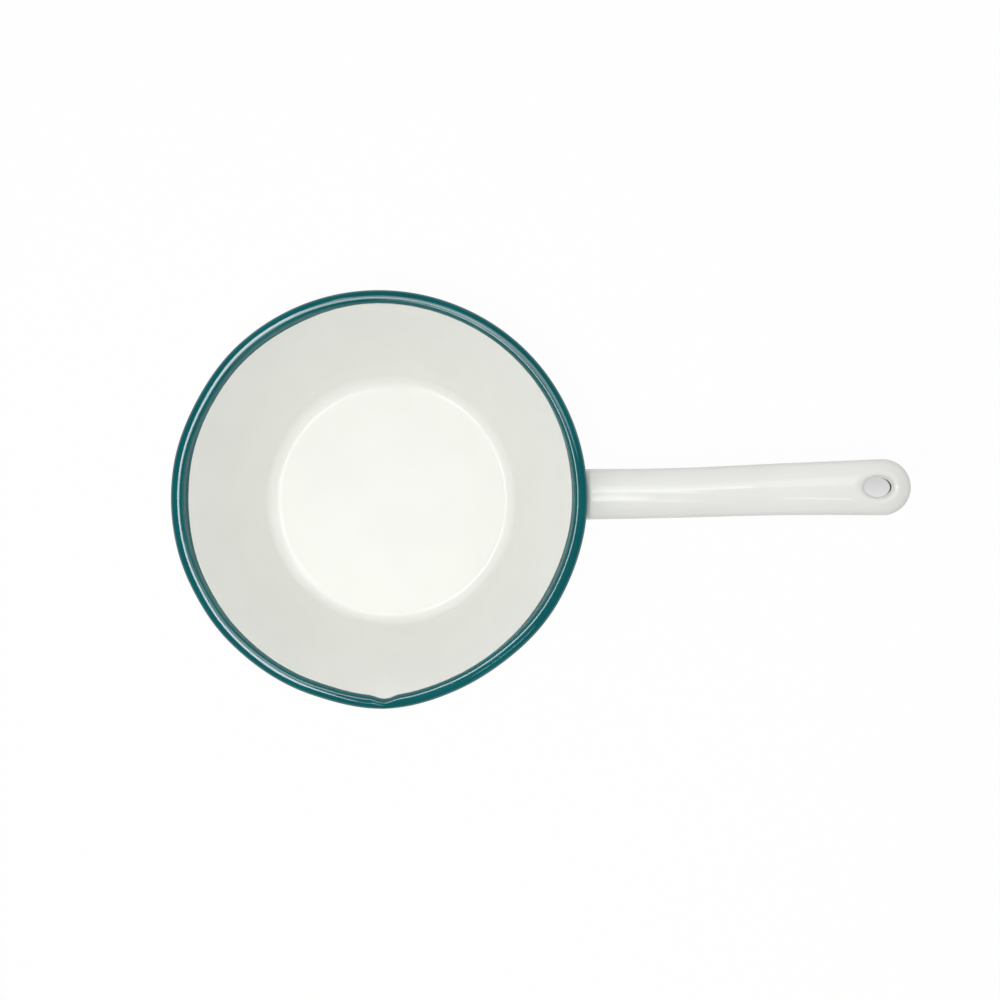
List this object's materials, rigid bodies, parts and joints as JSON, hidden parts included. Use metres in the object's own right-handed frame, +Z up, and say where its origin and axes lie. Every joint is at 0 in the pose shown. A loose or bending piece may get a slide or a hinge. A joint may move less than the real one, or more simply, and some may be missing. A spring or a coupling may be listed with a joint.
{
  "type": "milk pan",
  "caption": "Enamelled steel milk pan: flared round bowl, rolled coloured rim with one pouring lip, and a hollow straight handle with an oval hanging eye.",
  "frame": {"origin": "centre of the bowl on the plane that its base ring rests on", "axes": "+Z up along the bowl's axis, +X from the bowl towards the handle's hanging eye, the pouring lip at -Y"},
  "size_m": [0.2808, 0.161, 0.086],
  "materials": {
    "white_enamel": "gloss",
    "teal_enamel": "gloss"
  },
  "bodies": {
    "root": {"bowl": "white_enamel", "rolled_rim": "teal_enamel", "saddle_plate": "white_enamel", "saddle_spot_welds": "white_enamel", "handle_upper_shell": "white_enamel", "handle_lower_shell": "white_enamel", "handle_seam_weld": "white_enamel", "eye_weld": "white_enamel", "handle_root_weld": "white_enamel"}
  },
  "joints": []
}
